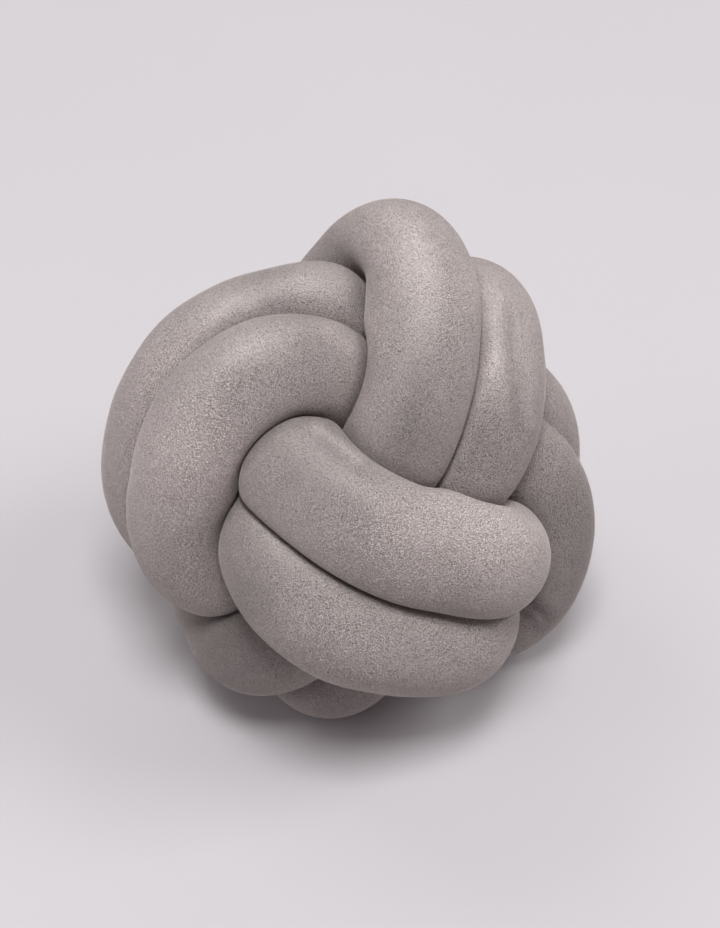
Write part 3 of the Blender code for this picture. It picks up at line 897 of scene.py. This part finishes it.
class KNOTCUSHION_OT_tube(bpy.types.Operator):
    """Adds the knotted plush tube in place of its plain solid"""

    bl_idname = "knot_cushion.tube"
    bl_label = "Knotted Tube"
    bl_options = {"REGISTER", "UNDO"}

    def execute(self, context):
        settings = context.scene.knot_cushion_tube
        skin, place, nap_and_painted_light = tube_skin(settings)
        # The nap attribute carries brushed pile and painted light and shade onto the skin.
        mesh = grid_mesh("plush_tube", on_the_floor(skin), {"sleeve_place": place}, {"nap_and_painted_light": nap_and_painted_light})
        mesh.materials.append(plush(settings))
        piece = put_in_scene("plush_tube", mesh)
        if len(mesh.polygons) != RINGS * SIDES:
            raise RuntimeError("the tube's skin lost faces")
        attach(piece, "root")
        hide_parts("knotted_tube")
        return {"FINISHED"}


def add_floor(settings):
    """A square of the floor's size at z = 0, its corners half that size from the middle."""
    half = settings.floor_size / 2
    mesh = bpy.data.meshes.new("floor")
    mesh.from_pydata([(-half, -half, 0), (half, -half, 0), (half, half, 0), (-half, half, 0)],
                     [], [(0, 1, 2, 3)])
    mesh.materials.append(pale_floor(settings))
    floor = put_in_scene("floor", mesh)


def look_at(target, place):
    """The matrix of a camera or lamp at a place that faces a target."""
    turn = (Vector(target) - Vector(place)).to_track_quat("-Z", "Y").to_matrix().to_4x4()
    return Matrix.Translation(place) @ turn


def add_lamp(name, power, size, place, target):
    """A square area lamp that faces the target."""
    lamp = bpy.data.lights.new(name, "AREA")
    lamp.energy = power
    lamp.shape = "SQUARE"
    lamp.size = size
    lamp.color = LAMP_COLOUR
    put_in_scene(name, lamp, look_at(target, place))


def ball_centre():
    """Where the knot's own centre is over the solid's footprint."""
    low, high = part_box("knotted_tube")
    return Vector(((low.x + high.x) / 2 + CENTRE_RIGHT, (low.y + high.y) / 2 + CENTRE_BACK,
                   FLOOR_DROP))


def add_camera(settings):
    """Looks down at the ball's centre along the pitch, moved a little right and down."""
    pitch = settings.camera_pitch
    toward = Vector((0, -math.cos(pitch), math.sin(pitch)))
    up = Vector((0, math.sin(pitch), math.cos(pitch)))
    place = ball_centre() + toward * settings.camera_distance
    place += Vector((CENTRE_LEFT, 0, 0)) - up * CENTRE_ABOVE
    camera = bpy.data.cameras.new("camera")
    camera.sensor_width = 36.0
    camera.lens = settings.focal_length
    camera.clip_start = 0.05
    bpy.context.scene.camera = put_in_scene("camera", camera, look_at(place - toward, place))


class KNOTCUSHION_OT_stage(bpy.types.Operator):
    """Adds the plain pale floor, the soft studio light and the camera"""

    bl_idname = "knot_cushion.stage"
    bl_label = "Stage"
    bl_options = {"REGISTER", "UNDO"}

    def execute(self, context):
        settings = context.scene.knot_cushion_stage
        scene = context.scene
        add_floor(settings)
        world = bpy.data.worlds.new("studio")
        world.use_nodes = True
        backdrop = world.node_tree.nodes["Background"]
        backdrop.inputs["Color"].default_value = (*ROOM_COLOUR, 1)
        backdrop.inputs["Strength"].default_value = settings.room_light
        scene.world = world
        scene.view_settings.view_transform = "Standard"
        centre = ball_centre()
        for name, (offset, size, share) in LAMPS.items():
            add_lamp(name, share * settings.lamp_power, size, centre + Vector(offset), centre)
        add_camera(settings)
        return {"FINISHED"}


class KNOTCUSHION_PT_panel(bpy.types.Panel):
    """Lists the cushion's pieces and their settings"""

    bl_idname = "KNOTCUSHION_PT_panel"
    bl_label = "Knot Cushion"
    bl_space_type = "VIEW_3D"
    bl_region_type = "UI"
    bl_category = "Knot Cushion"

    def draw(self, context):
        for operator, settings in ((KNOTCUSHION_OT_tube, context.scene.knot_cushion_tube),
                                   (KNOTCUSHION_OT_stage, context.scene.knot_cushion_stage)):
            box = self.layout.box()
            box.operator(operator.bl_idname)
            for key in settings.__annotations__:
                box.prop(settings, key)


CLASSES = (KnotCushionTube, KnotCushionStage, KNOTCUSHION_OT_tube, KNOTCUSHION_OT_stage,
           KNOTCUSHION_PT_panel)


def register():
    for cls in CLASSES:
        bpy.utils.register_class(cls)
    bpy.types.Scene.knot_cushion_tube = bpy.props.PointerProperty(type=KnotCushionTube)
    bpy.types.Scene.knot_cushion_stage = bpy.props.PointerProperty(type=KnotCushionStage)


def unregister():
    del bpy.types.Scene.knot_cushion_stage
    del bpy.types.Scene.knot_cushion_tube
    for cls in reversed(CLASSES):
        bpy.utils.unregister_class(cls)


def main():
    """Builds the pieces and the stage."""
    register()
    bpy.ops.knot_cushion.tube()
    bpy.ops.knot_cushion.stage()


if __name__ == "__main__":
    main()
